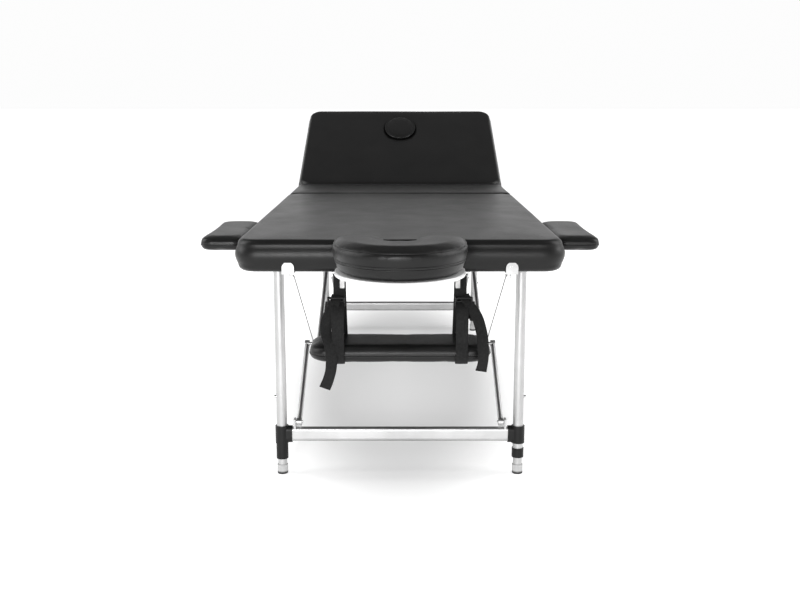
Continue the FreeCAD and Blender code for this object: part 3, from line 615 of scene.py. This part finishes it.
def stitches(name, points, body, pitch=0.0045, size=0.00045):
    """Short thread stitches along a closed line."""
    verts, faces = [], []
    travelled, due = 0.0, 0.0
    for i, p in enumerate(points):
        nxt = points[(i + 1) % len(points)]
        run = nxt - p
        if run.length < 1e-6:
            continue
        way = run.normalized()
        while due < travelled + run.length:
            middle = p + way * (due - travelled)
            side = way.cross(Vector((0, 0, 1))).normalized()
            up = side.cross(way)
            base = len(verts)
            for along, wide in ((-0.36, 0.4), (-0.2, 1.0), (0.2, 1.0), (0.36, 0.4)):
                for s in range(6):
                    a = math.pi * s / 3
                    verts.append(middle + way * pitch * along
                                 + (side * math.cos(a) + up * math.sin(a)) * size * wide)
            faces += [tuple(base + k for k in face) for face in ring_faces(4, 6)]
            due += pitch
        travelled += run.length
    finish_piece(name, verts, faces, body, "thread")


def cushion_outline(half, gap, front, tip_end, step=0.004):
    """The horseshoe's outline, anticlockwise, in the frame's own coordinates."""
    middle = front + half
    tip = (half - gap) / 2
    centre = (half + gap) / 2
    line = []

    def arc(cx, cy, radius, a0, a1):
        pieces = max(8, int(abs(a1 - a0) * radius / step))
        for i in range(pieces):
            a = a0 + (a1 - a0) * i / pieces
            line.append(Vector((cx + radius * math.cos(a), cy + radius * math.sin(a))))

    def run(x, y0, y1):
        pieces = max(2, int(abs(y1 - y0) / step))
        for i in range(pieces):
            line.append(Vector((x, y0 + (y1 - y0) * i / pieces)))

    arc(0, middle, half, math.pi, 2 * math.pi)
    run(half, middle, tip_end - tip)
    arc(centre, tip_end - tip, tip, 0, math.pi)
    run(gap, tip_end - tip, middle + 0.02)
    arc(0, middle + 0.02, gap, 2 * math.pi, math.pi)
    run(-gap, middle + 0.02, tip_end - tip)
    arc(-centre, tip_end - tip, tip, 0, math.pi)
    run(-half, tip_end - tip, middle)
    return line


def add_cushion():
    low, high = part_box("cradle_cushion")
    half = (high[0] - low[0]) / 2
    spare, grow = 0.004, 0.006
    outline = cushion_outline(half + grow, 0.042 - grow, low[1] - grow, high[1] - spare)
    verts, faces = prism(outline, low[2] + 0.0015, high[2] - 0.004, 0.014, 0.008)
    obj = finish_piece("face_cushion", verts, faces, "cradle_platform", "leather",
                       ("cradle_cushion",))
    inflate(obj, 4.0, 0.007, low[2] + 0.0006)
    tall = high[2] - low[2]
    welts = (("upper", 0.86, 0.0019), ("mid_a", 0.44, 0.0011), ("mid_b", 0.36, 0.0011))
    for label, share, radius in welts:
        line = surface_line(obj, outline, low[2] + tall * share)
        welt("cushion_welt_" + label, line, radius, "cradle_platform")
    line = surface_line(obj, outline, low[2] + tall * 0.40, lift=0.0003)
    stitches("cushion_stitches", line, "cradle_platform")


def boxed_cushion(name, node, body, corner, edge):
    """A small pad filled by simulation, with a welt and a row of stitches round its side."""
    shrink, cap = 0.003, 0.004
    low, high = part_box(node)
    width, length = high[0] - low[0], high[1] - low[1]
    centre = Vector(((low[0] + high[0]) / 2, (low[1] + high[1]) / 2))
    around = rounded_outline(width - 2 * shrink, length - 2 * shrink, corner)
    outline = [p + centre for p in around]
    verts, faces = prism(outline, low[2] + 0.002, high[2] - 0.002, edge)
    obj = finish_piece(name, verts, faces, body, "leather", (node,))
    inflate(obj, 3.5, cap, low[2])
    seam_at = low[2] + (high[2] - low[2]) * 0.42
    line = surface_line(obj, outline, seam_at)
    welt(name + "_welt", line, 0.0015, body)
    line = surface_line(obj, outline, seam_at + 0.004, lift=0.0002)
    stitches(name + "_stitches", line, body)


def add_small_pads():
    boxed_cushion("shelf_cushion", "arm_shelf", "arm_shelf", 0.045, 0.012)
    for side in ("left", "right"):
        boxed_cushion(side + "_armrest_cushion", side + "_armrest_pad", side + "_armrest", 0.026, 0.010)


# Webbing ------------------------------------------------------------------------------------------
def ribbon(name, points, width, thick, body, twist=0.0):
    """A flat strap that follows smooth points, its width across X turned by a slight twist."""
    curve = bpy.data.curves.new(name + "_line", "CURVE")
    curve.dimensions = "3D"
    spline = curve.splines.new("BEZIER")
    spline.bezier_points.add(len(points) - 1)
    for knot, p in zip(spline.bezier_points, points):
        knot.co = p
        knot.handle_left_type = knot.handle_right_type = "AUTO"
    curve.resolution_u = 14
    guide = bpy.data.objects.new(name + "_line", curve)
    line = [v.co.copy() for v in bpy.data.meshes.new_from_object(guide).vertices]
    bpy.data.objects.remove(guide)
    verts = []
    section = [(-0.5, -0.2), (-0.5, 0.2), (-0.46, 0.5), (-0.2, 0.56), (0.2, 0.56), (0.46, 0.5),
               (0.5, 0.2), (0.5, -0.2), (0.46, -0.5), (0.2, -0.56), (-0.2, -0.56), (-0.46, -0.5)]
    for i, p in enumerate(line):
        way = (line[min(i + 1, len(line) - 1)] - line[max(i - 1, 0)]).normalized()
        turn = twist * math.sin(3.0 * i / len(line) * math.pi)
        across = (Vector((math.cos(turn), math.sin(turn), 0))).normalized()
        across = (across - way * across.dot(way)).normalized()
        face = way.cross(across)
        verts += [p + across * width * u + face * thick * v for u, v in section]
    return finish_piece(name, verts, ring_faces(len(line), len(section)), body, "webbing")


def slab_between(verts, faces, low, high):
    base = len(verts)
    for z in (low[2], high[2]):
        verts += [Vector((low[0], low[1], z)), Vector((high[0], low[1], z)),
                  Vector((high[0], high[1], z)), Vector((low[0], high[1], z))]
    for quad in ((3, 2, 1, 0), (4, 5, 6, 7), (0, 1, 5, 4), (1, 2, 6, 5), (2, 3, 7, 6), (3, 0, 4, 7)):
        faces.append(tuple(base + k for k in quad))


def buckle(name, spot, width, tall, tilt):
    """A ladder lock: a moulded frame with three bars that the webbing threads through."""
    verts, faces = [], []
    deep, rail = 0.0035, 0.0045
    for sign in (-1, 1):
        slab_between(verts, faces, (sign * width / 2 - rail / 2, -deep, -tall / 2),
                     (sign * width / 2 + rail / 2, deep, tall / 2))
    for share in (-0.42, 0.05, 0.42):
        z = share * tall
        slab_between(verts, faces, (-width / 2, -deep * 0.8, z - 0.0021),
                     (width / 2, deep * 0.8, z + 0.0021))
    matrix = Matrix.Translation(spot) @ Matrix.Rotation(tilt, 4, "X")
    obj = finish_piece(name, verts, faces, "arm_shelf", "black_plastic", smooth=False,
                       matrix=matrix)
    round_edges(obj, 0.0009)
    return obj


def round_edges(obj, width):
    bevel = obj.modifiers.new("bevel", "BEVEL")
    bevel.width, bevel.segments = width, 3
    bevel.limit_method = "ANGLE"
    bpy.context.view_layer.objects.active = obj
    bpy.ops.object.modifier_apply(modifier=bevel.name)
    for face in obj.data.polygons:
        face.use_smooth = True


def add_straps():
    """Webbing from under the head end, round the arm shelf and up again, with hanging adjusting tails."""
    shelf_low, shelf_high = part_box("arm_shelf")
    front, back = shelf_low[1], shelf_high[1]
    floor, roof = shelf_low[2], shelf_high[2]
    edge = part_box("front_cover")[0]
    top = edge[2] - 0.004
    for side, sign in (("left", -1), ("right", 1)):
        x = 0.130 * sign
        main = [(x, edge[1] + 0.022, top - 0.004), (x, edge[1] + 0.010, top - 0.05),
                (x + 0.001 * sign, front + 0.022, roof + 0.07), (x, front + 0.004, roof + 0.008),
                (x, front - 0.003, roof - 0.014), (x, front + 0.006, floor + 0.002),
                (x, front + 0.030, floor - 0.0022), (x, (front + back) / 2, floor - 0.0026),
                (x, back - 0.026, floor - 0.0022), (x, back - 0.003, floor + 0.006),
                (x, back + 0.002, roof - 0.012), (x, back - 0.010, roof + 0.012),
                (x, back - 0.035, roof + 0.07), (x, edge[1] + 0.031, top - 0.004)]
        route = [Vector(p) for p in main]
        loop = ribbon(side + "_shelf_strap", route, STRAP_WIDE, STRAP_THICK, "arm_shelf")
        if sign < 0:
            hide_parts("shelf_straps")
        if sign < 0:
            spots = [(0.004, 0.008, 0.487), (0.010, -0.008, 0.470), (0.022, -0.022, 0.447),
                     (0.026, -0.034, 0.418), (0.016, -0.052, 0.386), (0.014, -0.060, 0.350),
                     (0.020, -0.059, 0.322), (0.029, -0.054, 0.299)]
        else:
            spots = [(0.006, 0.008, 0.487), (0.016, -0.006, 0.472), (0.030, -0.020, 0.452),
                     (0.040, -0.036, 0.424), (0.044, -0.055, 0.390), (0.044, -0.061, 0.362),
                     (0.040, -0.059, 0.338)]
        tail = [Vector((x + dx * sign, edge[1] + dy, z)) for dx, dy, z in spots]
        ribbon(side + "_strap_tail", tail, STRAP_WIDE * 0.92, STRAP_THICK, "arm_shelf", 0.35 * sign)
        lock_spot = (x + 0.006 * sign, edge[1] + 0.001, 0.474)
        lock = buckle(side + "_ladder_lock", lock_spot, 0.033, 0.022, 0.25)
        if sign < 0:
            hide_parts("strap_buckles")
        buckle(side + "_slider", (x + 0.010 * sign, edge[1] - 0.006, 0.446), 0.031, 0.014, 0.45)


add_camera()
add_world()
add_lights()
add_floor()
dress_frame()
add_sections()
add_cushion()
add_small_pads()
add_straps()
